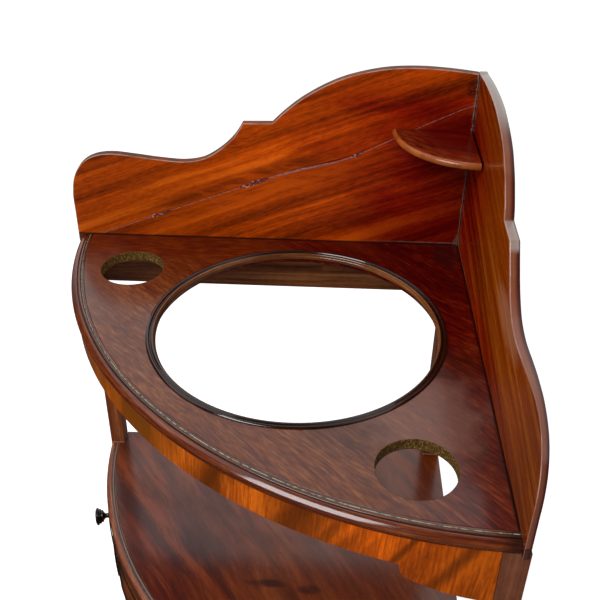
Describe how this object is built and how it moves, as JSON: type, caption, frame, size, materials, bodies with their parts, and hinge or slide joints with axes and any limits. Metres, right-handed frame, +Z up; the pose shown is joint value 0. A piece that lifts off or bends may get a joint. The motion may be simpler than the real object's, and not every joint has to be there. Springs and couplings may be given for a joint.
{
  "type": "corner washstand",
  "caption": "Bow-fronted mahogany corner washstand with a pierced top, shaped splashboards, a corner shelf, an open tier with a drawer, and an undertier.",
  "frame": {"origin": "on the floor, below the middle of the whole object's box", "axes": "+Z up; the back corner points to +Y and the bowed front faces -Y; +X is to the right for someone who looks at the back corner from the front"},
  "size_m": [0.6816, 0.4562, 1.0528],
  "materials": {
    "board_mahogany": "waxed, satin",
    "top_mahogany": "worn polish, satin",
    "dark_moulding": "dark polish, glossy",
    "flame_veneer": "flame figure, polished",
    "leg_mahogany": "dark polish, satin",
    "inner_wood": "raw, dry",
    "ebonised_wood": "black polish",
    "aged_brass": "tarnished"
  },
  "bodies": {
    "stand": {"apron_block_1": "inner_wood", "apron_block_2": "inner_wood", "apron_block_3": "inner_wood", "basin_ring": "dark_moulding", "bow_apron": "flame_veneer", "case_bottom": "inner_wood", "case_panel_left": "leg_mahogany", "case_panel_right": "leg_mahogany", "corner_shelf": "board_mahogany", "divider_left": "leg_mahogany", "divider_right": "leg_mahogany", "drawer_stop_left": "inner_wood", "drawer_stop_right": "inner_wood", "dummy_bead_left": "dark_moulding", "dummy_bead_right": "dark_moulding", "dummy_front_left": "flame_veneer", "dummy_front_right": "flame_veneer", "knob_left": "ebonised_wood", "knob_nut_left": "aged_brass", "knob_nut_right": "aged_brass", "knob_plate_left": "aged_brass", "knob_plate_right": "aged_brass", "knob_right": "ebonised_wood", "leg_back": "leg_mahogany", "leg_left": "leg_mahogany", "leg_right": "leg_mahogany", "lower_bow_rail": "flame_veneer", "middle_shelf": "top_mahogany", "rail_block_left_1": "inner_wood", "rail_block_left_2": "inner_wood", "rail_block_right_1": "inner_wood", "rail_block_right_2": "inner_wood", "shelf_edge_moulding": "dark_moulding", "splashboard_left": "board_mahogany", "splashboard_right": "board_mahogany", "top_edge_moulding": "dark_moulding", "undertier": "top_mahogany", "upper_bow_rail": "flame_veneer", "upper_rail_left": "leg_mahogany", "upper_rail_right": "leg_mahogany", "washstand_top": "top_mahogany"},
    "drawer": {"drawer_back": "inner_wood", "drawer_bead": "dark_moulding", "drawer_bottom": "inner_wood", "drawer_front": "flame_veneer", "drawer_side_left": "inner_wood", "drawer_side_right": "inner_wood", "knob_drawer": "ebonised_wood", "knob_nut_drawer": "aged_brass", "knob_plate_drawer": "aged_brass"}
  },
  "joints": [
    {"name": "drawer_slide", "type": "slide", "parent": "stand", "child": "drawer", "axis": [0, -1, 0], "range_m": [0, 0.17]}
  ]
}
